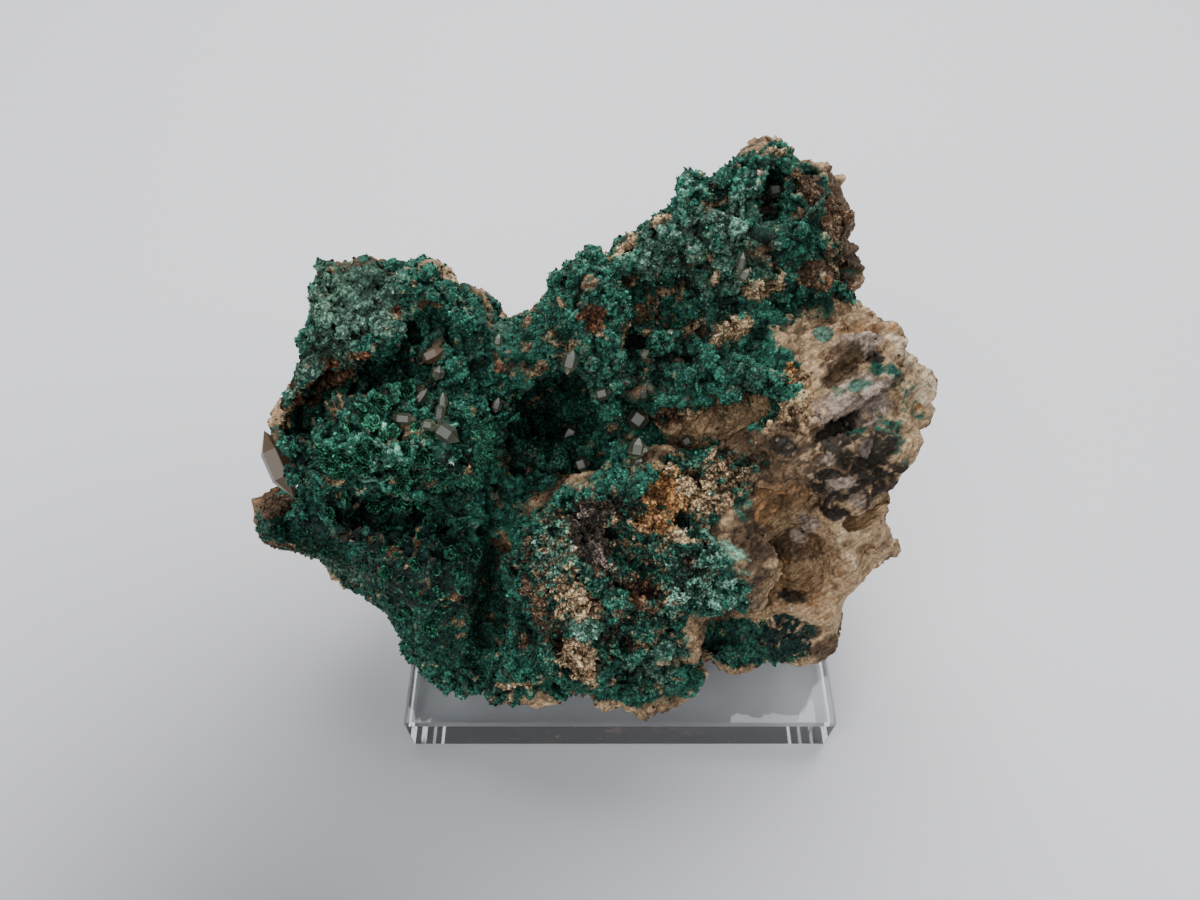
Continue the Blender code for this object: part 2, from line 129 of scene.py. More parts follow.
PATCHES = [
    # left lobe
    Patch("moss", (345, 300), (70, 50), 0, 0.9),
    Patch("moss", (318, 362), (56, 28), 30, 0.9),
    Patch("green", (440, 310), (50, 36), 0, 0.8),
    Patch("tan", (446, 268), (20, 8), -35),
    Patch("tan", (470, 284), (10, 6), -35),
    Patch("rust", (398, 312), (9, 14), 0, 0.9),
    Patch("rust", (422, 305), (16, 4), -5, 0.5),
    Patch("rust", (360, 357), (14, 6), 10),
    Patch("rust", (318, 393), (48, 3), 38, 0.9),
    Patch("tan", (282, 426), (14, 7), 30),
    Patch("brown", (330, 385), (30, 6), 30, 0.5),
    Patch("green", (400, 450), (90, 52), 0, 1.1),
    Patch("green", (460, 405), (34, 40), 0, 1.0),
    Patch("mint", (395, 455), (74, 44), 0, 0.3),
    # painted shade: dark green laid over the steep slope down to the stand, which lies in shadow
    Patch("deep", (400, 560), (110, 50), -25, 0.6),
    Patch("rust", (500, 368), (8, 7)),
    # low lobe
    Patch("brown", (272, 506), (26, 14), 0, 0.9),
    Patch("deep", (312, 532), (30, 18), -15),
    Patch("moss", (335, 572), (40, 14), -35, 0.8),
    Patch("brown", (292, 552), (26, 7), -20, 0.8),
    # saddle and knob
    Patch("green", (530, 350), (40, 20), 0, 1.1),
    Patch("rust", (592, 318), (18, 16), 0, 0.95),
    Patch("tan", (600, 334), (7, 4)),
    Patch("brown", (582, 284), (14, 8), 0, 0.8),
    # tower
    # painted highlight: pale mint at the left edge of the tower's face
    Patch("mint", (646, 248), (38, 34), 0, 0.55),
    Patch("mint", (737, 232), (8, 34), -15, 0.9),
    Patch("tan", (618, 244), (26, 8), 30),
    Patch("tan", (655, 217), (14, 6), 35, 0.9),
    Patch("brown", (712, 205), (16, 12), 0, 0.7),
    Patch("tan", (772, 147), (16, 6), 0, 0.9),
    Patch("stone", (763, 166), (6, 7)),
    Patch("brown", (815, 180), (24, 22), 0, 0.95),
    Patch("brown", (838, 222), (14, 26), 0, 0.85),
    Patch("brown", (848, 178), (20, 20), 0, 1.0),
    Patch("brown", (800, 207), (14, 7), 0, 0.9),
    Patch("brown", (856, 236), (28, 66), -12, 1.1),
    Patch("green", (850, 262), (20, 30), 0, 0.5),
    Patch("brown", (820, 280), (20, 14), 0, 0.8),
    Patch("brown", (762, 252), (14, 14), 0, 0.8),
    Patch("tan", (768, 291), (26, 12), 0, 1.1),
    Patch("tan", (778, 278), (8, 14)),
    Patch("tan", (733, 328), (24, 14), 0, 0.7),
    Patch("tan", (692, 322), (8, 10), 0, 0.7),
    Patch("ochre", (794, 368), (9, 14)),
    Patch("brown", (648, 320), (10, 16), 0, 0.6),
    Patch("tan", (705, 424), (50, 14), 0, 0.8),
    Patch("brown", (670, 415), (20, 12), 0, 0.8),
    Patch("moss", (715, 250), (80, 56), 0, 0.55),
    # painted light: a thin pale mint wash that brightens the tower's face
    Patch("mint", (715, 215), (60, 50), 0, 0.25),
    # front lobe
    Patch("brown", (600, 570), (110, 90), 0, 0.3),
    Patch("tan", (610, 560), (100, 80), 0, 0.16),
    Patch("tan", (664, 462), (14, 10), 0, 0.7),
    Patch("ochre", (668, 500), (22, 30), 0, 0.8),
    Patch("ochre", (650, 524), (16, 8), 0, 0.8),
    Patch("black", (702, 502), (14, 10), 0, 0.9),
    Patch("tan", (715, 485), (44, 40), 0, 0.6),
    Patch("brown", (735, 470), (34, 30), 0, 0.5),
    Patch("tan", (680, 537), (16, 8), 0, 0.8),
    Patch("black", (590, 535), (22, 36), 25, 0.9),
    Patch("black", (612, 515), (24, 12), 0, 0.7),
    Patch("stone", (603, 560), (9, 22), 20, 0.9),
    Patch("stone", (585, 514), (14, 6), 20, 0.6),
    Patch("mint", (552, 550), (24, 34), 0, 0.7),
    Patch("tan", (556, 560), (24, 40), 0, 0.35),
    Patch("tan", (572, 605), (22, 30), 20, 0.7),
    Patch("mint", (587, 632), (16, 13), 0, 1.0),
    Patch("rust", (642, 590), (13, 18), 0, 0.8),
    Patch("mint", (710, 580), (50, 50), 0, 0.45),
    Patch("mint", (668, 622), (12, 9)),
    Patch("tan", (578, 665), (20, 27), 10, 1.1),
    Patch("brown", (545, 625), (14, 30), 30, 0.7),
    Patch("tan", (508, 708), (30, 4), 5, 1.0),
    Patch("tan", (686, 700), (20, 5), 20, 0.9),
    Patch("moss", (655, 665), (46, 26), 0, 0.6),
    Patch("tan", (706, 662), (8, 24), 0, 0.9),
    # right matrix, from its base colours to its markings
    Patch("tan", (880, 400), (90, 110), 0, 1.4),
    Patch("tan", (830, 560), (80, 90), 0, 1.4),
    Patch("tan", (790, 420), (34, 24), 0, 0.7),
    Patch("ochre", (866, 330), (40, 8), 0, 0.45),
    Patch("cream", (930, 385), (14, 26), -10, 0.8),
    Patch("cream", (905, 352), (30, 8), -42, 0.8),
    Patch("stone", (862, 400), (50, 30), 33, 0.75),
    Patch("brown", (850, 470), (56, 56), 20, 0.75),
    Patch("black", (852, 472), (50, 46), 20, 0.6),
    Patch("stone", (858, 345), (26, 12), 10, 0.85),
    Patch("brown", (840, 364), (18, 22), -30, 0.9),
    Patch("brown", (832, 380), (14, 10), 20, 0.9),
    Patch("black", (876, 357), (11, 8), 0, 0.8),
    Patch("moss", (822, 335), (11, 9), 40, 1.0),
    Patch("moss", (859, 387), (11, 8), 0, 0.95),
    Patch("mint", (860, 388), (8, 5), 0, 0.7),
    Patch("moss", (838, 391), (6, 8), 0, 0.8),
    Patch("green", (888, 370), (24, 8), -15, 0.75),
    Patch("moss", (908, 388), (10, 10), 0, 0.6),
    Patch("green", (893, 432), (16, 22), 30, 0.6),
    Patch("moss", (900, 448), (12, 18), 20, 0.55),
    Patch("green", (918, 410), (8, 12), 0, 0.7),
    Patch("moss", (905, 400), (14, 20), -20, 0.55),
    Patch("green", (880, 450), (14, 10), 0, 0.5),
    Patch("ochre", (919, 408), (7, 5), 0, 0.7),
    Patch("green", (858, 430), (14, 4), 20, 0.8),
    Patch("brown", (780, 455), (36, 34), 0, 0.55),
    Patch("black", (782, 448), (16, 12), 0, 0.7),
    # painted shade: a thin black line along the crease under the fold
    Patch("black", (844, 426), (28, 4), 30, 0.9),
    Patch("black", (864, 452), (34, 19), 10, 0.8),
    Patch("black", (874, 475), (15, 8), 25, 1.1),
    Patch("stone", (831, 461), (11, 9), 0, 0.5),
    Patch("stone", (856, 446), (16, 5), 20, 0.5),
    Patch("stone", (840, 486), (14, 9), 15, 0.6),
    Patch("black", (864, 506), (14, 18), 0, 0.7),
    Patch("black", (834, 512), (17, 12), 10, 0.9),
    Patch("stone", (856, 500), (10, 6), 30, 0.6),
    Patch("black", (806, 494), (20, 7), -8, 1.0),
    Patch("fur", (786, 508), (36, 26), -25, 1.0),
    Patch("ochre", (782, 512), (30, 20), -30, 0.4),
    Patch("brown", (795, 546), (28, 16), 20, 0.8),
    Patch("ochre", (768, 525), (6, 5), 0, 0.9),
    Patch("ochre", (783, 562), (6, 5), 0, 0.9),
    Patch("stone", (810, 523), (14, 11), 35, 0.8),
    Patch("stone", (798, 537), (8, 7), 0, 0.7),
    Patch("fur", (775, 585), (20, 30), 0, 0.6),
    Patch("green", (745, 500), (14, 20), 0, 0.5),
    Patch("black", (794, 594), (15, 9), 0, 0.85),
    Patch("ochre", (824, 606), (14, 18), 0, 0.45),
    Patch("brown", (812, 634), (10, 7), 0, 0.8),
    Patch("deep", (786, 640), (26, 26), 0, 0.7),
    Patch("cream", (845, 565), (30, 50), -10, 0.3),
    Patch("fur", (820, 575), (36, 40), 0, 0.4),
]

# Where malachite covers the stone at all: pixel, half sizes and turn, over the display face
CRUST_AREAS = [
    Patch("crust", (390, 420), (165, 190), 0),
    Patch("crust", (320, 490), (70, 60), 0),
    Patch("crust", (430, 620), (110, 125), 0),
    Patch("crust", (590, 610), (150, 135), 0),
    Patch("crust", (640, 330), (150, 130), 0),
    Patch("crust", (750, 230), (125, 115), 0),
    Patch("crust", (830, 236), (66, 72), 0),
    Patch("crust", (760, 380), (56, 50), 0),
    Patch("crust", (540, 440), (90, 90), 0),
    Patch("crust", (700, 480), (56, 50), 0),
    Patch("crust", (590, 690), (125, 40), 0),
    Patch("crust", (470, 680), (60, 44), 0),
    Patch("crust", (750, 645), (70, 30), 0),
    Patch("crust", (300, 545), (70, 50), -30),
]

# Where the crust lies in rows of curled scales, which rise to the lower right
SCALE_AREAS = [
    Patch("scales", (395, 460), (80, 42), 8),
    Patch("scales", (385, 525), (70, 34), -8),
    Patch("scales", (430, 590), (60, 60), 0),
]

# Where the surface is softer than elsewhere
CALM_AREAS = [
    Patch("calm", (420, 600), (95, 70), 0),
    Patch("calm", (300, 540), (60, 40), -20),
    Patch("calm", (530, 352), (60, 36), 0, 0.6),
    Patch("calm", (775, 645), (50, 30), 0),
    Patch("calm", (840, 590), (50, 80), 0),
    Patch("calm", (925, 390), (30, 40), 0, 0.7),
]

# Where the crust is most broken up and speckled
LIVELY_AREAS = [
    Patch("lively", (590, 590), (110, 110), 0),
    Patch("lively", (700, 600), (80, 80), 0),
    Patch("lively", (720, 480), (60, 50), 0),
]

# Sprays of needles: the pixel of their root, the way that they fan out in the picture, the fan's
# half angle, both in degrees, and their length in pixels
Spray = namedtuple("Spray", "pixel way spread length")

SPRAYS = [
    Spray((452, 398), -50, 60, 17),
    Spray((457, 412), -20, 45, 15),
    Spray((440, 402), -120, 50, 13),
    Spray((468, 430), 0, 50, 20),
    Spray((470, 446), -20, 50, 22),
    Spray((474, 462), -35, 45, 20),
    Spray((462, 470), -75, 45, 18),
    Spray((484, 440), 20, 40, 16),
    Spray((446, 476), -90, 50, 16),
    Spray((488, 458), -15, 45, 16),
    Spray((428, 470), -110, 50, 14),
    Spray((505, 420), 30, 60, 13),
]

# Layered rosettes of malachite: pixel, and how far they reach in pixels
Rosette = namedtuple("Rosette", "pixel reach")

ROSETTES = [
    Rosette((405, 448), 10), Rosette((401, 466), 11), Rosette((424, 458), 11),
    Rosette((436, 468), 9), Rosette((374, 446), 11), Rosette((360, 453), 12),
    Rosette((331, 463), 12), Rosette((345, 458), 13), Rosette((361, 471), 14),
    Rosette((378, 480), 11), Rosette((400, 484), 12), Rosette((342, 476), 11),
    Rosette((392, 397), 13), Rosette((407, 391), 11), Rosette((380, 405), 11),
    Rosette((361, 410), 10), Rosette((342, 426), 9), Rosette((374, 424), 9),
    Rosette((343, 503), 11), Rosette((374, 505), 10), Rosette((399, 504), 10),
    Rosette((423, 505), 11), Rosette((390, 430), 8), Rosette((418, 480), 9),
    Rosette((440, 486), 9), Rosette((322, 448), 9),
]

# A fold, a step or a groove of the surface: pixel, half length and half width in pixels, turn, and
# how far its middle rises in millimetres
Form = namedtuple("Form", "name pixel half turn rise")

FORMS = [
    Form("upper_fold", (850, 350), (40, 9), 40, 1.3),
    Form("upper_fold_crease", (860, 362), (34, 4), 30, -1.2),
    Form("fold", (864, 398), (48, 9), 33, 1.5),
    Form("fold_crease", (846, 425), (36, 4), 28, -1.1),
    Form("nodule_left", (834, 452), (11, 9), 0, 1.3),
    Form("nodule_right", (858, 450), (12, 8), 20, 1.3),
    Form("nodule_low", (846, 471), (11, 8), 0, 1.1),
    Form("nodule_end", (868, 468), (11, 7), 30, 1.0),
    Form("knot_recess", (808, 492), (22, 9), -20, -1.4),
    Form("knot_step", (860, 506), (26, 8), 25, 0.9),
    Form("knot_crease", (884, 482), (18, 5), 35, -1.4),
    Form("facet", (808, 527), (17, 12), -20, 0.7),
    Form("low_dip", (802, 578), (20, 26), 10, -0.3),
    Form("lip_recess", (338, 398), (52, 5), 36, -0.7),
    Form("knob_pit", (418, 338), (8, 22), -10, -1.2),
    Form("crest_horn", (322, 266), (9, 12), 0, 1.2),
    Form("prism_seat", (294, 462), (10, 32), 0, -1.6),
    Form("tower_side", (846, 200), (16, 54), 0, -1.7),
    Form("tower_top", (800, 140), (44, 14), -30, -1.0),
    Form("tower_shoulder", (872, 262), (26, 34), 0, -1.6),
    Form("rim_back", (900, 320), (48, 24), -48, -4.2),
    Form("rim_tip", (930, 416), (16, 22), 0, 1.6),
    Form("crack_fill", (866, 517), (20, 9), 10, 1.2),
    Form("rim_front", (880, 570), (16, 28), 20, -1.6),
    Form("saddle_top", (530, 308), (60, 14), 0, -0.6),
]


# Noise

def mix_bits(value):
    """Scrambles whole numbers."""
    value = (value ^ (value >> np.uint32(16))) * np.uint32(0x7FEB352D)
    value = (value ^ (value >> np.uint32(15))) * np.uint32(0x846CA68B)
    return value ^ (value >> np.uint32(16))


def cell_random(cells, seed):
    """Three numbers from 0 to 1 for each cell of a grid."""
    parts = cells.astype(np.int64).astype(np.uint32)
    mixed = mix_bits(parts[:, 0] + np.uint32(seed * 7919 + 17))
    mixed = mix_bits(mixed + parts[:, 1])
    mixed = mix_bits(mixed + parts[:, 2])
    tenths = [(mixed >> np.uint32(shift)) & np.uint32(1023) for shift in (0, 10, 20)]
    return np.stack(tenths, axis=1) / 1023.0


def smooth_noise(points, seed):
    """Gradient noise, from about -1 to 1."""
    low = np.floor(points)
    part = points - low
    ease = part * part * part * (part * (part * 6 - 15) + 10)
    total = np.zeros(len(points))
    for corner in np.ndindex(2, 2, 2):
        gradient = cell_random(low + corner, seed) * 2 - 1
        share = np.prod(np.where(corner, ease, 1 - ease), axis=1)
        total += share * np.einsum("ij,ij->i", gradient, part - corner)
    return total * 1.6


def fractal(points, per_metre, octaves, seed):
    """Several layers of noise, each twice as fine and half as strong."""
    total = np.zeros(len(points))
    for octave in range(octaves):
        scale = per_metre * 2**octave
        total += smooth_noise(points * scale + 11.7 * octave, seed + octave) / 2**octave
    return total


def cells_of(points, per_metre, seed):
    """For each point: its distance to the nearest cell centre, how much nearer that is than the
    next one, the vector from the centre, and a random number of the cell."""
    scaled = points * per_metre
    low = np.floor(scaled)
    nearest = np.full(len(points), 9.0)
    second = np.full(len(points), 9.0)
    offset = np.zeros_like(points)
    chance = np.zeros(len(points))
    for step in np.ndindex(3, 3, 3):
        cell = low + np.array(step) - 1
        random = cell_random(cell, seed)
        apart = scaled - cell - random
        distance = np.sqrt(np.einsum("ij,ij->i", apart, apart))
        closer = distance < nearest
        second = np.where(closer, nearest, np.minimum(second, distance))
        nearest = np.where(closer, distance, nearest)
        offset[closer] = apart[closer]
        chance[closer] = random[closer, 0]
    return nearest, second - nearest, offset / per_metre, chance


def ramp(values, start, end):
    """A smooth rise from 0 at the start to 1 at the end."""
    part = np.clip((values - start) / (end - start), 0, 1)
    return part * part * (3 - 2 * part)


# The picture and the stone

def seen_at(pixel, depth):
    """The point that shows at a pixel, at a depth along the view's axis."""
    across = (pixel[0] - PICTURE[0] / 2) / FOCAL_PIXELS
    up = (PICTURE[1] / 2 - pixel[1]) / FOCAL_PIXELS
    return VIEW_POINT + (VIEW_AHEAD + across * VIEW_RIGHT + up * VIEW_UP) * depth


def surface_at(tree, pixel):
    """Where the line of sight through a pixel meets the stone, and its depth."""
    direction = Vector(seen_at(pixel, 1.0) - VIEW_POINT).normalized()
    place = tree.ray_cast(Vector(VIEW_POINT), direction)[0]
    if place is None:
        return None, 0.0
    place = np.array(place)
    return place, float((place - VIEW_POINT) @ VIEW_AHEAD)


def patch_distance(points, tree, patch):
    """Which points lie near a patch, and how far they are from its middle: 1 is its edge."""
    place, depth = surface_at(tree, patch.pixel)
    if place is None:
        place, depth = nearest_edge(tree, patch.pixel)
    turn = math.radians(patch.turn)
    along = math.cos(turn) * VIEW_RIGHT + math.sin(turn) * VIEW_UP
    aside = -math.sin(turn) * VIEW_RIGHT + math.cos(turn) * VIEW_UP
    scale = depth / FOCAL_PIXELS
    reach = max(patch.half) * scale
    near = np.flatnonzero(np.abs(points - place).max(axis=1) < 2.5 * reach)
    apart = points[near] - place
    wide = apart @ along / (patch.half[0] * scale)
    tall = apart @ aside / (patch.half[1] * scale)
    deep = apart @ VIEW_AHEAD / (1.3 * reach)
    return near, np.sqrt(wide**2 + tall**2 + deep**2)


def patch_share(points, tree, patch, wobble):
    """1 inside the patch, 0 well outside it, with an edge broken up by noise."""
    near, distance = patch_distance(points, tree, patch)
    share = np.zeros(len(points))
    share[near] = ramp(1.25 - distance + wobble[near], 0.0, 0.5)
    return share


def areas_share(points, tree, areas, wobble):
    """The largest share that any of the areas has at each point."""
    share = np.zeros(len(points))
    for area in areas:
        share = np.maximum(share, area.cover * patch_share(points, tree, area, wobble))
    return share


def nearest_edge(tree, pixel):
    """The stone's point nearest to a line of sight that passes it."""
    guess = seen_at(pixel, 0.112)
    place = np.array(tree.find_nearest(Vector(guess))[0])
    return place, float((place - VIEW_POINT) @ VIEW_AHEAD)


# Meshes

def values_of(mesh, name, width=3):
    flat = np.empty(len(mesh.vertices) * width, np.float32)
    mesh.vertices.foreach_get(name, flat)
    return flat.reshape(-1, width).astype(float)


def raise_surface(mesh, height):
    """Moves each point outwards along its own normal."""
    moved = values_of(mesh, "co") + values_of(mesh, "normal") * height[:, None]
    mesh.vertices.foreach_set("co", moved.astype(np.float32).ravel())
    mesh.update()


def write_tint(mesh, colours, crust=1.0):
    """Each point's colour, painted light and shade included, and in its fourth number how far it is
    crust.
    """
    layer = mesh.attributes.new("tint", "FLOAT_COLOR", "POINT")
    rgba = np.ones((len(colours), 4), np.float32)
    rgba[:, :3] = colours
    rgba[:, 3] = crust
    layer.data.foreach_set("color", rgba.ravel())


def linear(colour):
    """sRGB numbers from 0 to 255 as linear light."""
    part = np.array(colour) / 255
    return np.where(part <= 0.04045, part / 12.92, ((part + 0.055) / 1.055) ** 2.4)


def blend(first, second, share):
    return first + (second - first) * np.asarray(share)[..., None]


def link(obj):
    bpy.context.scene.collection.objects.link(obj)
    return obj


def mesh_from_arrays(name, points, triangles, colours):
    mesh = bpy.data.meshes.new(name)
    mesh.from_pydata(points, [], triangles)
    write_tint(mesh, colours)
    return link(bpy.data.objects.new(name, mesh))


def tree_of(mesh):
    points = values_of(mesh, "co")
    return BVHTree.FromPolygons(points.tolist(), [tuple(face.vertices) for face in mesh.polygons])


# The stone's surface

def fine_copy(node):
    """The solid on a fine even mesh, twice as fine on the display face."""
    obj = link(bpy.data.objects.new("stone", node.data.copy()))
    remesh = obj.modifiers.new("Fine", "REMESH")
    remesh.mode = "VOXEL"
    remesh.voxel_size = VOXEL
    smooth = obj.modifiers.new("Smooth", "SMOOTH")
    smooth.factor = 0.5
    smooth.iterations = FACET_SMOOTHING
    bpy.context.view_layer.update()
    graph = bpy.context.evaluated_depsgraph_get()
    mesh = bpy.data.meshes.new_from_object(obj.evaluated_get(graph))
    bpy.data.objects.remove(obj)
    bm = bmesh.new()
    bm.from_mesh(mesh)
    ahead = Vector(VIEW_AHEAD)
    front = {edge for face in bm.faces if face.normal.dot(ahead) < -0.05 for edge in face.edges}
    bmesh.ops.subdivide_edges(bm, edges=list(front), cuts=1, use_grid_fill=True)
    bm.to_mesh(mesh)
    bm.free()
    return mesh


def crust_share(points, normals, tree):
    """Where malachite covers the stone: the display face, with spots of it elsewhere."""
    wobble = 0.35 * fractal(points, 120, 3, 5)
    share = areas_share(points, tree, CRUST_AREAS, wobble)
    facing = ramp(-(normals @ VIEW_AHEAD) + wobble, -0.85, -0.35)
    spots = ramp(fractal(points, 70, 3, 31), 0.28, 0.42) * 0.8
    return np.maximum(share * facing, spots * (1 - facing))


def near_crystals(points, crystals, rock):
    """1 beside a crystal and 0 a little way off, so that the crust leaves the crystals free. Where
    a crystal lies inside the rock, the crust runs on over it."""
    share = np.zeros(len(points))
    for crystal in crystals:
        corners = values_of(crystal.data, "co")
        tree = tree_of(crystal.data)
        low, high = corners.min(axis=0) - FREE_MARGIN, corners.max(axis=0) + FREE_MARGIN
        for index in np.flatnonzero(((points > low) & (points < high)).all(axis=1)):
            place, _, _, distance = tree.find_nearest(Vector(points[index]))
            sight = (Vector(VIEW_POINT) - place).normalized()
            if distance < FREE_MARGIN and rock.ray_cast(place + sight * 0.05 * MM, sight)[0] is None:
                share[index] = max(share[index], 1 - distance / FREE_MARGIN)
    return ramp(share, 0.0, 0.8)


def raise_forms(mesh, tree):
    """The folds, steps and grooves that are named one by one."""
    for form in FORMS:
        near, distance = patch_distance(values_of(mesh, "co"), tree, form)
        height = np.zeros(len(mesh.vertices))
        height[near] = form.rise * MM * ramp(1.3 - distance, 0, 1)
        raise_surface(mesh, height)


def cell_directions(chance):
    """A direction for each cell, from its random number."""
    around = chance * 2 * math.pi
    up = np.cos(chance * 47.0)
    flat = np.sqrt(1 - up * up)
    return np.stack([flat * np.cos(around), flat * np.sin(around), up], axis=1)


def rough_out(mesh, tree):
    """Raises the named forms and the crust's lumps, and divides the edges that this stretches. The
    attribute rest keeps where each point lay before."""
    points = values_of(mesh, "co")
    rest = mesh.attributes.new("rest", "FLOAT_VECTOR", "POINT")
    rest.data.foreach_set("vector", points.astype(np.float32).ravel())
    raise_forms(mesh, tree)
    crust = crust_share(points, values_of(mesh, "normal"), tree)
    lump_near, lump_gap, _, _ = cells_of(points + warp_of(points), 250, 1)
    lump = 1 - np.minimum(lump_near, 1) ** 2
    height = (1.2 * (lump - 0.6) - 0.8 * (1 - ramp(lump_gap, 0.0, 0.3))) * crust
    height = height + 0.5 * fractal(points, 170, 3, 7)
    relief = 1 - 0.8 * areas_share(points, tree, CALM_AREAS, 0.35 * fractal(points, 260, 3, 71))
    raise_surface(mesh, (height * relief - 0.45) * MM)
    bm = bmesh.new()
    bm.from_mesh(mesh)
    ahead = Vector(VIEW_AHEAD)
    for _ in range(2):
        long = []
        for edge in bm.edges:
            length = edge.calc_length()
            if length > LONGEST_SEEN:
                seen = any(face.normal.dot(ahead) < 0.05 for face in edge.link_faces)
                if seen or length > LONGEST_HIDDEN:
                    long.append(edge)
        bmesh.ops.subdivide_edges(bm, edges=long, cuts=1)
    bm.to_mesh(mesh)
    bm.free()


def warp_of(points):
    """How far each point is shifted before it is given to a grid of cells."""
    return 0.9 * MM * np.stack([fractal(points, 300, 2, 41 + axis) for axis in range(3)], axis=1)


def shape_and_colour(mesh, tree, crystals):
    """Raises knobs, grains, scales and broken steps, and colours them as they are made, with painted
    light on high places and painted shade in creases, gaps and pits. Gives back the finished points
    and normals, how far each is crust, its colour with that painted light and shade in it, the
    painted light factor alone, and how free of crystals it is."""
    rough_out(mesh, tree)
    rest = np.empty(len(mesh.vertices) * 3, np.float32)
    mesh.attributes["rest"].data.foreach_get("vector", rest)
    points = rest.reshape(-1, 3).astype(float)
    placed = values_of(mesh, "co")
    normals = values_of(mesh, "normal")
    crust = crust_share(points, normals, tree)
    bare = 1 - crust
    free = 1 - near_crystals(placed, crystals, tree)
    edges = 0.35 * fractal(points, 260, 3, 71)
    scales = areas_share(points, tree, SCALE_AREAS, edges) * crust
    relief = 1 - 0.8 * areas_share(points, tree, CALM_AREAS, edges)
    even = crust * (1 - scales)

    warp = warp_of(points)
    warped = points + warp
    lump_near, lump_gap, _, _ = cells_of(warped, 250, 1)
    knob_near, knob_gap, knob_offset, knob_chance = cells_of(placed + warp, 820, 2)
    grain_near, _, _, grain_chance = cells_of(placed + 0.4 * warp, 1800, 3)
    scale_near, scale_gap, scale_offset, _ = cells_of(warped, 340, 4)
    _, block_gap, block_offset, block_chance = cells_of(warped, 160, 6)
    lump = 1 - np.minimum(lump_near, 1) ** 2
    knob = 1 - np.minimum(knob_near, 1) ** 2
    grain = 1 - np.minimum(grain_near, 1) ** 2
    lump_edge = ramp(lump_gap, 0.0, 0.3)
    knob_edge = ramp(knob_gap, 0.0, 0.25)
    pits = ramp(fractal(points, 480, 3, 19), 0.2, 0.55)
    curl = 0.5 + scale_offset @ SCALE_RISE * 340
    tilt = np.einsum("ij,ij->i", block_offset, cell_directions(block_chance))
    chips = np.einsum("ij,ij->i", knob_offset, cell_directions(knob_chance))
    along, aside = points @ STRIA_ALONG, points @ STRIA_ASIDE
    lines = np.stack([along * 140, aside * 1100, points @ VIEW_AHEAD * 300], axis=1)
    striae = smooth_noise(lines + 0.6 * fractal(points, 300, 2, 63)[:, None], 65)
    lines = np.stack([along * 90, aside * 330, points @ VIEW_AHEAD * 150], axis=1)
    lines = lines + 0.7 * fractal(points, 130, 2, 64)[:, None]
    folds = 1 - 2.2 * np.abs(smooth_noise(lines, 66) + 0.5 * smooth_noise(2.3 * lines, 68))
    rings = np.cos(2 * math.pi * (4.5 * scale_near + 0.4 * fractal(points, 900, 2, 77)))

    def lift(height):
        """Raises the surface, but never against a crystal."""
        height = height * relief * MM
        raise_surface(mesh, np.where(height > 0, height * free, height))

    lift(-0.5 * (1 - free))
    lift((0.3 * (knob * (0.4 + knob_chance) - 0.5) - 0.12 * (1 - knob_edge)) * even)
    lift((1.4 * (curl - 0.6) - 0.4 * (1 - ramp(scale_gap, 0, 0.12))) * scales)
    lift((0.2 * (knob * (0.4 + knob_chance) - 0.5) + 0.1 * rings) * scales)
    lift(-1.2 * pits * crust)
    lift(0.5 * (grain * (0.3 + grain_chance) - 0.45) * crust * (1 - 0.4 * scales))
    lift((90 * tilt + 0.5 * folds + 140 * chips) * bare)
    lift((0.2 * striae + 0.3 * fractal(points, 800, 3, 57) + 0.25 * (grain - 0.5)) * bare)

    tone = {name: linear(colour) for name, colour in COLOURS.items()}
    # painted_tip_light: how high a point sits on its knob, grain and lump, and on the scales how near
    # their rising edge; high places get painted light, low ones painted shade
    painted_tip_light = 0.25 * knob + 0.45 * grain + 0.3 * lump
    painted_tip_light += scales * (0.45 * np.clip(curl, 0, 1) + 0.2 * rings + 0.2 - 0.25 * knob - 0.2 * grain - 0.1)
    # painted shade in the creases between lumps and knobs and in the pits
    painted_gap_shade = (0.55 + 0.45 * lump_edge) * (0.75 + 0.25 * knob_edge) * (1 - 0.6 * pits)
    # the green turns to the deep colour in low places: painted shade
    green = blend(tone["deep"], tone["green"], ramp(painted_tip_light, 0.3, 0.75))
    rock = blend(tone["brown"], tone["tan"], ramp(fractal(points, 90, 4, 83) + 0.3 * tilt * 300,
                                                  -0.35, 0.3))
    rock = blend(rock, tone["rust"], 0.6 * ramp(fractal(points, 60, 3, 89), 0.1, 0.5))
    zone = blend(rock, green, ramp(crust + 0.35 * (grain_chance - 0.5), 0.4, 0.6))
    soft = 0.04 + 0.15 * bare
    mottle = 0.75 * fractal(points + 2 * warp, 420, 3, 97) + 0.7 * fractal(points, 1500, 2, 99)
    for number, patch in enumerate(PATCHES):
        share = patch_share(points, tree, patch, edges)
        chance = 0.5 * np.mod(knob_chance + 0.618 * number, 1)
        chance += 0.5 * np.mod(grain_chance + 0.414 * number, 1)
        chance = 0.5 + (chance - 0.5) * crust + 0.5 * mottle * bare
        zone = blend(zone, tone[patch.kind], ramp((share * patch.cover - chance) / soft, -1, 1))

    speck = ramp(knob_chance + 0.25 * fractal(points, 110, 2, 101), 0.95, 0.99) * crust
    speck_colour = blend(tone["tan"], tone["rust"], ramp(grain_chance, 0.4, 0.6))
    zone = zone + (speck_colour - zone) * (0.8 * speck)[:, None]
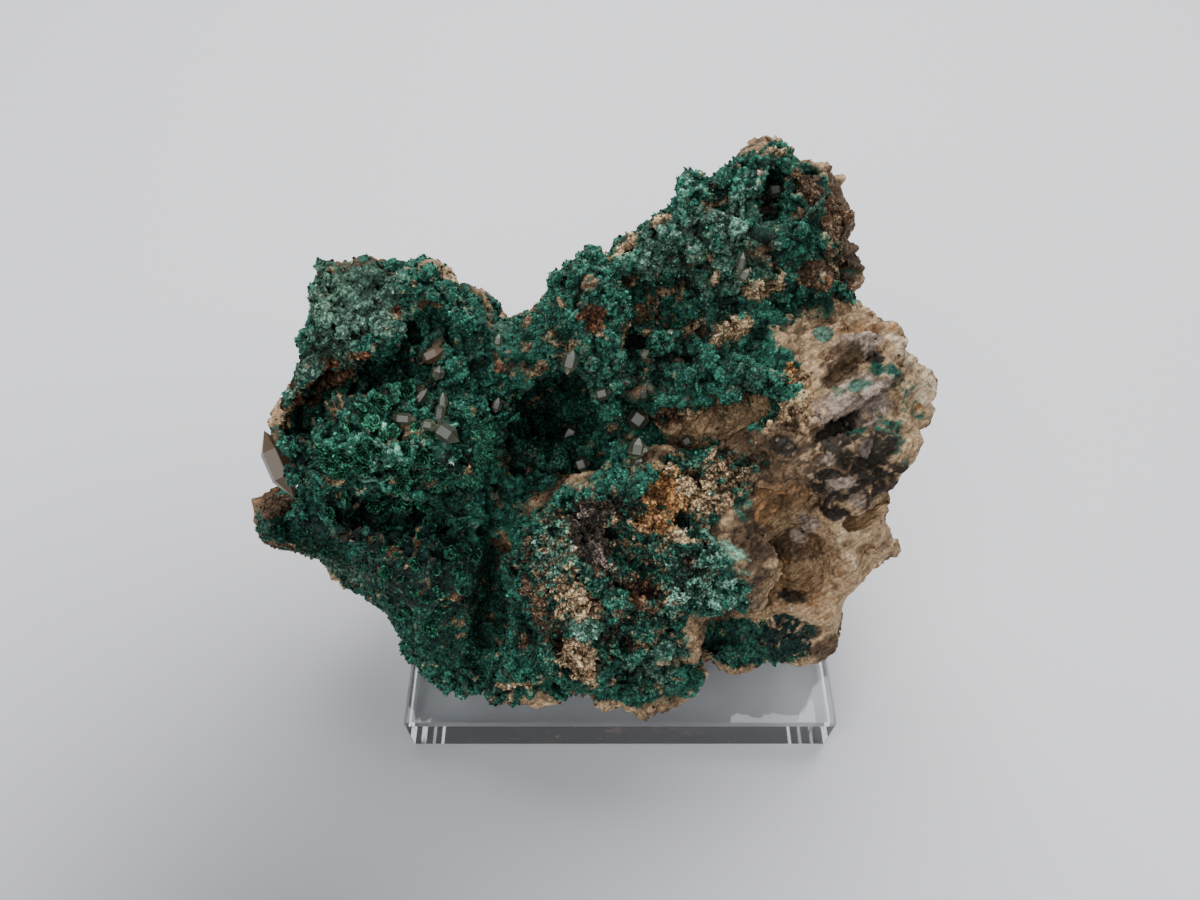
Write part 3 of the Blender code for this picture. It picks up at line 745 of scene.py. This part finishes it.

    # crust_light: painted light on high places times painted shade in the gaps, with tone that
    # differs at random from grain to grain; the rows of scales get 30 percent more painted light
    crust_light = CRUST_GAIN * (0.3 + 1.25 * ramp(painted_tip_light, 0.2, 0.95)) * painted_gap_shade
    crust_light = crust_light * (0.7 + 0.6 * grain_chance) * (1 + 0.3 * scales)
    crust_light = 0.55 * CRUST_GAIN + (crust_light - 0.55 * CRUST_GAIN) * (0.3 + 0.7 * relief)
    # bare_light: random tone, painted shade along the cracks between blocks and in the troughs of the
    # folds, and darker streaks along the fine lines
    bare_light = (0.8 + 0.3 * knob_chance) * (0.7 + 0.3 * ramp(block_gap, 0, 0.12))
    bare_light = bare_light * (0.55 + 0.45 * ramp(folds, -0.7, 0.4)) * (0.7 + 0.6 * grain_chance)
    bare_light = bare_light * (0.65 + 0.35 * ramp(striae, -0.5, 0.2))
    bare_light = 1 + (bare_light - 1) * relief
    light = crust_light * crust + BARE_GAIN * bare_light * bare
    # tint: the mineral's colour with all this painted light and shade in it
    tint = np.clip(zone * light[:, None], 0.001, 0.9)
    lively = areas_share(points, tree, LIVELY_AREAS, edges)
    write_tint(mesh, tint, crust * (0.7 + 0.3 * lively))
    stone = {
        "points": values_of(mesh, "co"), "normals": values_of(mesh, "normal"), "crust": crust,
        "tint": tint, "light": light, "free": free, "scales": scales,
    }
    weights = ramp(scales, 0.4, 0.8) * seen_weight(stone["points"], stone["normals"]) * free
    stone["rosette_weight"] = weights.sum()
    return stone


# Small pieces of mineral

def random_turns(count, random):
    """Turns spread evenly over all directions, as 3 by 3 matrices."""
    w, x, y, z = (random.normal(size=(4, count)) / 1.0)
    size = np.sqrt(w * w + x * x + y * y + z * z)
    w, x, y, z = w / size, x / size, y / size, z / size
    rows = [
        [1 - 2 * (y * y + z * z), 2 * (x * y - z * w), 2 * (x * z + y * w)],
        [2 * (x * y + z * w), 1 - 2 * (x * x + z * z), 2 * (y * z - x * w)],
        [2 * (x * z - y * w), 2 * (y * z + x * w), 1 - 2 * (x * x + y * y)],
    ]
    return np.array(rows).transpose(2, 0, 1)


def turns_towards(directions, random):
    """Turns that bring +Z to each direction, spun by chance about it."""
    up = directions / np.linalg.norm(directions, axis=1, keepdims=True)
    helper = random.normal(size=up.shape)
    side = np.cross(up, helper)
    side /= np.linalg.norm(side, axis=1, keepdims=True)
    return np.stack([side, np.cross(up, side), up], axis=2)


def ball(subdivisions):
    bm = bmesh.new()
    bmesh.ops.create_icosphere(bm, subdivisions=subdivisions, radius=1)
    points = np.array([vertex.co for vertex in bm.verts])
    triangles = np.array([[vertex.index for vertex in face.verts] for face in bm.faces])
    bm.free()
    return points, triangles


def tuft(spikes):
    """Spikes that stand out from one root, over the half turned to +Z."""
    points, triangles, tips = [], [], []
    for number in range(spikes):
        height = 1 - (number + 0.5) / spikes * 0.9
        around = number * 2.399963
        flat = math.sqrt(1 - height * height)
        tip = np.array((flat * math.cos(around), flat * math.sin(around), height))
        side = np.cross(tip, (0.3, 0.5, 0.81))
        side /= np.linalg.norm(side)
        other = np.cross(tip, side)
        first = len(points)
        for corner in range(3):
            angle = corner * 2 * math.pi / 3
            foot = -0.15 * tip + 0.2 * (math.cos(angle) * side + math.sin(angle) * other)
            points.append(foot)
            tips.append(0.0)
        points.append(tip)
        tips.append(1.0)
        a, b, c, d = range(first, first + 4)
        triangles += [(a, b, d), (b, c, d), (c, a, d)]
    return np.array(points), np.array(triangles), np.array(tips)


def scatter(name, shape, triangles, places, turns, sizes, colours):
    """One mesh of many copies of a shape. Colours hold one colour for each of their points."""
    count, corners = len(places), len(shape)
    sized = shape[None] * sizes[:, None, None] if sizes.ndim == 1 else shape[None] * sizes[:, None]
    points = np.einsum("nij,nkj->nki", turns, sized) + places[:, None]
    faces = triangles[None] + (np.arange(count) * corners)[:, None, None]
    return mesh_from_arrays(
        name, points.reshape(-1, 3), faces.reshape(-1, 3).tolist(), colours.reshape(-1, 3)
    )


def pick(random, weights, count):
    """Chance picks, without repeats, by weight."""
    return random.choice(len(weights), count, replace=False, p=weights / weights.sum())


def seen_weight(points, normals):
    """Favours the display face, where small pieces show."""
    return 0.12 + ramp(-(normals @ VIEW_AHEAD), -0.3, 0.3)


def make_grains(name, stone, inside, count, random):
    """Uneven grains, a fraction of a millimetre across, crowded on the crust's high places."""
    points, normals = stone["points"], stone["normals"]
    weights = inside * seen_weight(points, normals) * (0.02 + stone["crust"])
    weights = weights * stone["free"] * (0.15 + stone["light"]) * (1 - 0.6 * stone["scales"])
    chosen = pick(random, weights, count)
    shape, triangles = ball(1)
    sizes = (0.12 + 0.2 * random.random((count, 3)) ** 1.5) * MM
    places = points[chosen] + normals[chosen] * (sizes.min(axis=1) * 0.3)[:, None]
    shine = np.exp(random.normal(0, 0.3, count))[:, None, None]
    colours = stone["tint"][chosen][:, None] * shine
    colours = colours * (0.7 + 0.7 * random.random((count, len(shape), 1)))
    colours = np.clip(colours, 0.002, 0.9)
    return scatter(name, shape, triangles, places, random_turns(count, random), sizes, colours)


def make_tufts(name, stone, inside, count, random):
    """Tufts of short spikes, which give the crust its velvet."""
    points, normals = stone["points"], stone["normals"]
    weights = inside * seen_weight(points, normals) * ramp(stone["crust"], 0.4, 0.8)
    weights = weights * stone["free"] * (0.1 + stone["light"]) * (1 - 0.6 * stone["scales"])
    chosen = pick(random, weights, count)
    shape, triangles, tips = tuft(6)
    sizes = (0.28 + 0.3 * random.random(count) ** 1.5) * MM
    shine = np.exp(random.normal(0, 0.3, count))[:, None, None]
    root_to_tip = (0.5 + 1.0 * tips)[None, :, None]
    colours = np.clip(stone["tint"][chosen][:, None] * shine * root_to_tip, 0.002, 0.9)
    turns = turns_towards(normals[chosen] + 0.4 * random.normal(size=(count, 3)), random)
    return scatter(name, shape, triangles, points[chosen], turns, sizes, colours)


def rosette(layers, steps):
    """Nested wavy cups, the widest lowest, with how far each point is along to its cup's rim."""
    points, triangles, rims = [], [], []
    for layer in range(layers):
        outward = layer / (layers - 1)
        first = len(points)
        for share, drop in ((0.35, -0.4), (0.8, 0.0), (1.0, 0.08)):
            for step in range(steps):
                angle = 2 * math.pi * step / steps + 0.7 * layer
                wave = 1 + share * (0.12 * math.cos(5 * angle + 2 * layer)
                                    + 0.06 * math.cos(9 * angle + layer))
                reach = (0.3 + 0.7 * outward) * share * wave
                height = 0.55 * (1 - outward**1.5) + drop
                height += 0.09 * share * math.cos(7 * angle + 2 * layer)
                points.append((reach * math.cos(angle), reach * math.sin(angle), height))
                rims.append(share)
        for ring in range(2):
            for step in range(steps):
                a = first + ring * steps + step
                b = first + ring * steps + (step + 1) % steps
                triangles += [(a, b, b + steps), (a, b + steps, a + steps)]
    return np.array(points), np.array(triangles), np.array(rims)


def make_rosettes(name, stone, inside, tree, cuts, random):
    """The named rosettes, and small ones among the rows of scales."""
    points, normals = stone["points"], stone["normals"]
    weights = inside * ramp(stone["scales"], 0.4, 0.8) * seen_weight(points, normals)
    weights = weights * stone["free"]
    count = int(SMALL_ROSETTES * weights.sum() / stone["rosette_weight"])
    chosen = list(pick(random, weights, count)) if count else []
    sizes = list((0.4 + 0.5 * random.random(count)) * MM)
    for entry in ROSETTES:
        root, depth = surface_at(tree, entry.pixel)
        if root is not None and inside_block(root[None], cuts)[0]:
            chosen.append(int(np.argmin(((points - root) ** 2).sum(axis=1))))
            sizes.append(entry.reach * depth / FOCAL_PIXELS)
    if not chosen:
        return None
    chosen, sizes = np.array(chosen), np.array(sizes)
    shape, triangles, rims = rosette(4, 20)
    shine = np.exp(random.normal(0, 0.2, len(chosen)))[:, None, None]
    share = np.tile(ramp(rims, 0.5, 1.0), (len(chosen), 1))
    colours = blend(0.8 * linear(COLOURS["green"]), 1.4 * linear(COLOURS["frond"]), share) * shine
    colours = np.clip(colours * random.uniform(0.75, 1.25, share.shape)[..., None], 0.002, 0.9)
    leaning = normals[chosen] + 0.3 * SCALE_RISE + 0.2 * random.normal(size=(len(chosen), 3))
    places = points[chosen] + normals[chosen] * (0.15 * sizes)[:, None]
    return scatter(name, shape, triangles, places, turns_towards(leaning, random), sizes, colours)


def make_sprays(name, tree, cuts, random):
    """Fans of thin needles that lie almost flat on the crust, dark at the root."""
    places, turns, sizes = [], [], []
    for spray in SPRAYS:
        root, depth = surface_at(tree, spray.pixel)
        if root is None or not inside_block(root[None], cuts)[0]:
            continue
        normal = np.array(tree.find_nearest(Vector(root))[1])
        for _ in range(SPRAY_NEEDLES):
            way = math.radians(spray.way + random.uniform(-1, 1) * spray.spread)
            along = math.cos(way) * VIEW_RIGHT + math.sin(way) * VIEW_UP
            along = along - normal * (along @ normal)
            along = along / np.linalg.norm(along) + normal * random.uniform(0.05, 0.45)
            places.append(root + along * random.uniform(-1.2, 0.6) * MM + normal * 0.4 * MM)
            turns.append(along)
            length = spray.length * depth / FOCAL_PIXELS * random.uniform(0.6, 1.1)
            sizes.append((0.055 * MM, 0.055 * MM, length))
    if not places:
        return None
    bm = bmesh.new()
    bmesh.ops.create_cone(bm, segments=3, radius1=1, radius2=0.3, depth=1)
    bmesh.ops.triangulate(bm, faces=bm.faces)
    shape = np.array([vertex.co for vertex in bm.verts]) + (0, 0, 0.5)
    triangles = np.array([[vertex.index for vertex in face.verts] for face in bm.faces])
    bm.free()
    shine = random.uniform(0.6, 1.4, (len(places), 1, 1))
    share = np.tile(shape[:, 2], (len(places), 1))
    colours = blend(linear(COLOURS["green"]), 1.7 * linear(COLOURS["frond"]), share) * shine
    return scatter(name, shape, triangles, np.array(places), turns_towards(np.array(turns), random),
                   np.array(sizes), np.clip(colours, 0.002, 0.9))


def inside_block(points, cuts):
    """1 for the points of one block."""
    kept = np.ones(len(points))
    for axis, place, side in cuts:
        kept *= (points[:, axis] - place * MM) * side > 0
    return kept


def finish_piece(obj, material, replaced=None):
    """Dresses a piece and lets it ride with the specimen."""
    set_material(obj, material)
    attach(obj, "root")
    if replaced:
        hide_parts(replaced)


def cut_block(mesh, name, cuts):
    """One block of the stone. It stays open where the next one joins it."""
    bm = bmesh.new()
    bm.from_mesh(mesh)
    for axis, place, side in cuts:
        normal = np.zeros(3)
        normal[axis] = side
        spot = np.zeros(3)
        spot[axis] = place * MM
        everything = bm.verts[:] + bm.edges[:] + bm.faces[:]
        bmesh.ops.bisect_plane(
            bm, geom=everything, dist=1e-7, plane_co=spot, plane_no=normal, clear_inner=True,
        )
    for face in bm.faces:
        face.smooth = True
    block = bpy.data.meshes.new(name)
    bm.to_mesh(block)
    bm.free()
    return link(bpy.data.objects.new(name, block))


# Materials

def new_material(name, roughness):
    made = bpy.data.materials.new(name)
    made.use_nodes = True
    shader = made.node_tree.nodes["Principled BSDF"]
    shader.inputs["Roughness"].default_value = roughness
    return made, made.node_tree.nodes, made.node_tree.links, shader


def map_node(nodes, links, source, start, end, low, high):
    """The source's range from start to end spread over low to high."""
    spread = nodes.new("ShaderNodeMapRange")
    for name, value in (("From Min", start), ("From Max", end), ("To Min", low), ("To Max", high)):
        spread.inputs[name].default_value = value
    links.new(source, spread.inputs["Value"])
    return spread.outputs["Result"]


def math_node(nodes, links, operation, first, second):
    made = nodes.new("ShaderNodeMath")
    made.operation = operation
    for socket, source in zip(made.inputs, (first, second)):
        if isinstance(source, float):
            socket.default_value = source
        else:
            links.new(source, socket)
    return made.outputs["Value"]


def mineral_material():
    """Dull mineral in the colours worked out with its shape, painted light and shade included. Grains
    too fine for the mesh break it up, each painted lighter in its middle and with painted shade at
    its
    edges: strongly on the crust, less on bare matrix."""
    made, nodes, links, shader = new_material("mineral", 0.8)
    tint = nodes.new("ShaderNodeAttribute")
    tint.attribute_name = "tint"
    place = nodes.new("ShaderNodeTexCoord").outputs["Object"]
    dust = nodes.new("ShaderNodeTexNoise")
    dust.inputs["Scale"].default_value = 2200
    dust.inputs["Detail"].default_value = 4
    links.new(place, dust.inputs["Vector"])
    shifted = nodes.new("ShaderNodeVectorMath")
    shifted.operation = "MULTIPLY_ADD"
    links.new(dust.outputs["Color"], shifted.inputs[0])
    shifted.inputs[1].default_value = (0.5 * MM,) * 3
    links.new(place, shifted.inputs[2])
    grains = nodes.new("ShaderNodeTexVoronoi")
    grains.inputs["Scale"].default_value = 2700
    links.new(shifted.outputs["Vector"], grains.inputs["Vector"])
    hue = nodes.new("ShaderNodeSeparateColor")
    links.new(grains.outputs["Color"], hue.inputs["Color"])

    # painted shade: each fine grain is brighter in its middle and darker towards its edge
    round_light = map_node(nodes, links, grains.outputs["Distance"], 0.1, 0.65, 1.5, 0.4)
    grain_light = map_node(nodes, links, hue.outputs["Red"], 0, 1, 0.65, 1.35)
    dust_light = map_node(nodes, links, dust.outputs["Fac"], 0.35, 0.65, 0.7, 1.3)
    grainy = math_node(nodes, links, "MULTIPLY", round_light, grain_light)
    strength = map_node(nodes, links, tint.outputs["Alpha"], 0, 1, 0.35, 1.35)
    grainy = math_node(nodes, links, "SUBTRACT", grainy, 1.0)
    grainy = math_node(nodes, links, "MULTIPLY", grainy, strength)
    grainy = math_node(nodes, links, "ADD", grainy, 1.0)
    amount = math_node(nodes, links, "MULTIPLY", grainy, dust_light)

    turned = nodes.new("ShaderNodeCombineXYZ")
    runs = ((STRIA_ALONG, 500), (STRIA_ASIDE, 2600), (VIEW_AHEAD, 900))
    for socket, (axis, per_metre) in zip(turned.inputs, runs):
        part = nodes.new("ShaderNodeVectorMath")
        part.operation = "DOT_PRODUCT"
        links.new(place, part.inputs[0])
        part.inputs[1].default_value = axis * per_metre
        links.new(part.outputs["Value"], socket)
    streaks = nodes.new("ShaderNodeTexNoise")
    streaks.inputs["Scale"].default_value = 1
    streaks.inputs["Detail"].default_value = 3
    links.new(turned.outputs["Vector"], streaks.inputs["Vector"])
    dark = map_node(nodes, links, streaks.outputs["Fac"], 0.35, 0.6, -0.38, 0.22)
    fade = map_node(nodes, links, tint.outputs["Alpha"], 0, 0.5, 1, 0)
    streaky = math_node(nodes, links, "MULTIPLY", dark, fade)
    streaky = math_node(nodes, links, "ADD", streaky, 1.0)
    amount = math_node(nodes, links, "MULTIPLY", amount, streaky)
    scaled = nodes.new("ShaderNodeVectorMath")
    scaled.operation = "SCALE"
    links.new(tint.outputs["Color"], scaled.inputs["Vector"])
    links.new(amount, scaled.inputs["Scale"])
    links.new(scaled.outputs["Vector"], shader.inputs["Base Color"])

    bump = nodes.new("ShaderNodeBump")
    bump.inputs["Strength"].default_value = 0.8
    bump.inputs["Distance"].default_value = 0.12 * MM
    links.new(amount, bump.inputs["Height"])
    links.new(bump.outputs["Normal"], shader.inputs["Normal"])
    links.new(map_node(nodes, links, hue.outputs["Green"], 0, 1, 0.5, 0.95),
              shader.inputs["Roughness"])
    shader.inputs["Specular IOR Level"].default_value = 0.2
    return made


def glassy_material(name, colour, roughness, ior, transmission=1.0):
    made, nodes, links, shader = new_material(name, roughness)
    shader.inputs["Base Color"].default_value = (*linear(colour), 1)
    shader.inputs["IOR"].default_value = ior
    shader.inputs["Transmission Weight"].default_value = transmission
    return made


def set_material(obj, material):
    obj.data.materials.clear()
    obj.data.materials.append(material)


# Stage

def make_camera():
    camera = bpy.data.cameras.new("camera")
    camera.sensor_width = SENSOR_MM
    camera.lens = SENSOR_MM * FOCAL_PIXELS / PICTURE[0]
    camera.clip_start = 1 * MM
    obj = link(bpy.data.objects.new("camera", camera))
    obj.location = VIEW_POINT
    obj.rotation_euler = (math.pi / 2 - VIEW_PITCH, 0, 0)
    bpy.context.scene.camera = obj


def make_light(name, place, target, size, power):
    lamp = bpy.data.lights.new(name, "AREA")
    lamp.shape = "RECTANGLE"
    lamp.size, lamp.size_y = size
    lamp.energy = power
    obj = link(bpy.data.objects.new(name, lamp))
    obj.location = place
    obj.rotation_euler = (Vector(target) - Vector(place)).to_track_quat("-Z", "Y").to_euler()


def make_floor():
    """A pale sheet, darker where the specimen keeps the light of the room off it."""
    bm = bmesh.new()
    bmesh.ops.create_grid(bm, x_segments=1, y_segments=1, size=2.0)
    mesh = bpy.data.meshes.new("floor")
    bm.to_mesh(mesh)
    bm.free()
    floor = link(bpy.data.objects.new("floor", mesh))
    floor.location.z = -0.05 * MM
    made, nodes, links, shader = new_material("floor", 0.5)
    place = nodes.new("ShaderNodeTexCoord").outputs["Object"]
    spread = nodes.new("ShaderNodeMapping")
    spread.inputs["Location"].default_value = -Vector(SHADE_MIDDLE) / SHADE_REACH
    spread.inputs["Scale"].default_value = (1 / SHADE_REACH,) * 3
    links.new(place, spread.inputs["Vector"])
    round_shade = nodes.new("ShaderNodeTexGradient")
    round_shade.gradient_type = "QUADRATIC_SPHERE"
    links.new(spread.outputs["Vector"], round_shade.inputs["Vector"])
    tone = nodes.new("ShaderNodeMix")
    tone.data_type = "RGBA"
    links.new(round_shade.outputs["Fac"], tone.inputs["Factor"])
    tone.inputs["A"].default_value = (*linear(FLOOR_COLOUR), 1)
    tone.inputs["B"].default_value = (*linear(SHADE_COLOUR), 1)
    links.new(tone.outputs["Result"], shader.inputs["Base Color"])
    set_material(floor, made)


def make_stage():
    make_floor()
    world = bpy.data.worlds.new("studio")
    bpy.context.scene.world = world
    world.use_nodes = True
    sky = world.node_tree.nodes["Background"]
    sky.inputs["Color"].default_value = (0.85, 0.87, 0.9, 1)
    sky.inputs["Strength"].default_value = 0.5
    make_light("window", (0.06, 0.3, 0.5), (0, 0, 0.03), (0.6, 0.45), 4.4)
    make_light("front", (-0.2, -0.35, 0.45), (0, 0, 0.03), (0.55, 0.45), 2.3)


def main():
    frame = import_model()
    node = frame["nodes"]["malachite_rock"]
    tree = tree_of(node.data)
    mineral = mineral_material()

    crystals = [obj for name, obj in frame["nodes"].items()
                if name not in ("malachite_rock", "display_stand")]
    mesh = fine_copy(node)
    stone = shape_and_colour(mesh, tree, crystals)
    random = np.random.default_rng(SEED)
    for name, cuts in BLOCKS.items():
        block = cut_block(mesh, name, cuts)
        finish_piece(block, mineral, "malachite_rock")
        inside = inside_block(stone["points"], cuts)
        share = (inside * stone["crust"]).sum() / stone["crust"].sum()
        grains = make_grains(name + "_grains", stone, inside, int(GRAINS * share), random)
        tufts = make_tufts(name + "_tufts", stone, inside, int(TUFTS * share), random)
        sprays = make_sprays(name + "_needles", tree, cuts, random)
        rosettes = make_rosettes(name + "_rosettes", stone, inside, tree, cuts, random)
        for piece in filter(None, (grains, tufts, sprays, rosettes)):
            finish_piece(piece, mineral)

    clear = glassy_material("clear_quartz", (124, 128, 108), 0.28, 1.54, 0.86)
    tan = glassy_material("tan_quartz", (96, 77, 56), 0.35, 1.54, 0.35)
    acrylic = glassy_material("acrylic", (252, 254, 255), 0.02, 1.49)
    for name, obj in frame["nodes"].items():
        if name == "display_stand":
            set_material(obj, acrylic)
        elif name.startswith("tan"):
            set_material(obj, tan)
        elif name != "malachite_rock":
            set_material(obj, clear)

    make_stage()
    make_camera()


main()
